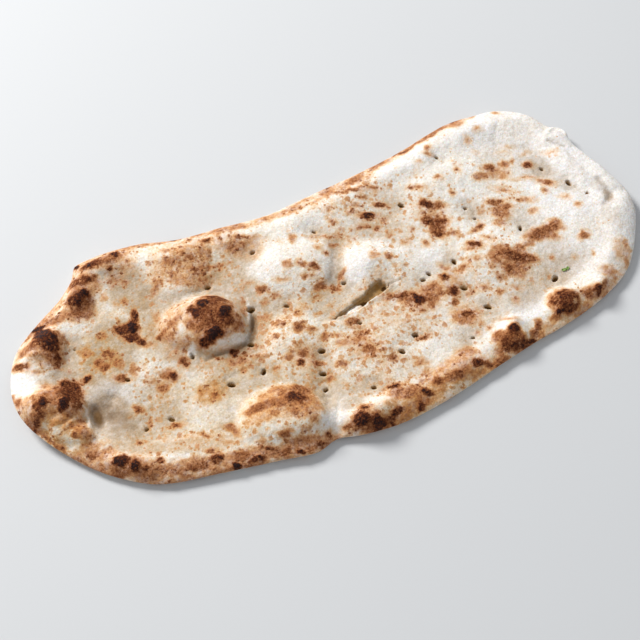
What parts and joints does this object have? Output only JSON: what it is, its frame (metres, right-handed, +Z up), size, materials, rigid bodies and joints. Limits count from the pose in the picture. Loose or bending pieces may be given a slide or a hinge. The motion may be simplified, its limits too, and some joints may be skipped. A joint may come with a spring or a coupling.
{
  "type": "naan bread",
  "caption": "Long hand-stretched flatbread with a puffed rim, a big charred blister, docking pits, a torn slit and leopard-spotted crust. It lies flat.",
  "frame": {"origin": "on the surface that the bread lies on, under the middle of its box", "axes": "+X along the bread's length towards its pale rounded end, +Z up from its underside"},
  "size_m": [0.362, 0.1592, 0.0183],
  "materials": {
    "crust": "matt floured bread crust, cream with golden specks and charred patches"
  },
  "bodies": {
    "root": {"naan": "crust"}
  },
  "joints": []
}
